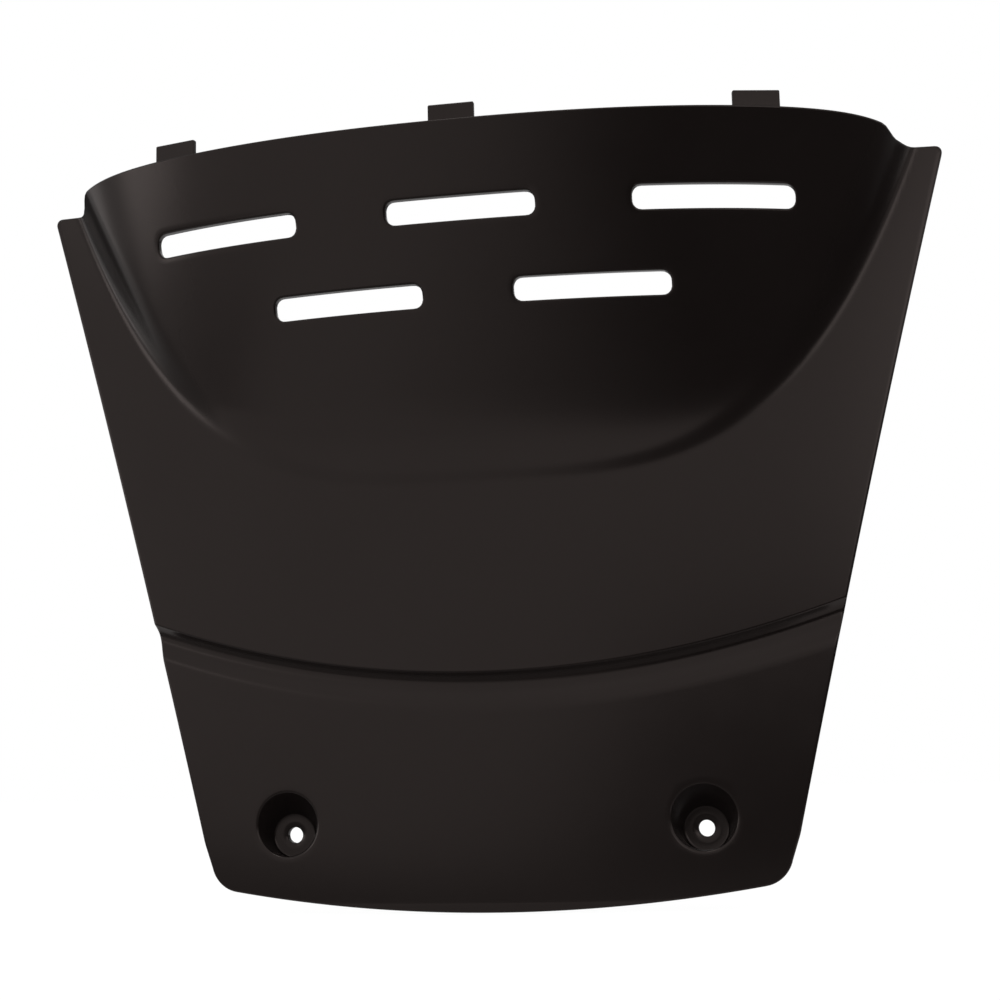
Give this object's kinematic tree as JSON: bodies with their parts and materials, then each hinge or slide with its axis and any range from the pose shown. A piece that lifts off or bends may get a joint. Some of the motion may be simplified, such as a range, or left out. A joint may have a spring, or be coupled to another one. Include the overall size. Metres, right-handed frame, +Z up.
{
  "type": "motorcycle battery cover",
  "caption": "Moulded battery cover for a motorcycle: a tapered panel with a flared hood and vent slots above, a stepped lower panel with sunk screw seats, and hooking tabs along the top.",
  "frame": {"origin": "midway between the two screw holes, in the plane of the back faces of their seats", "axes": "+X across the cover, the front faces -Y along the screws' axes, +Z up towards the hood and the tabs"},
  "size_m": [0.25, 0.044, 0.2074],
  "materials": {
    "black_plastic": "satin"
  },
  "bodies": {
    "root": {"cover": "black_plastic"}
  },
  "joints": []
}
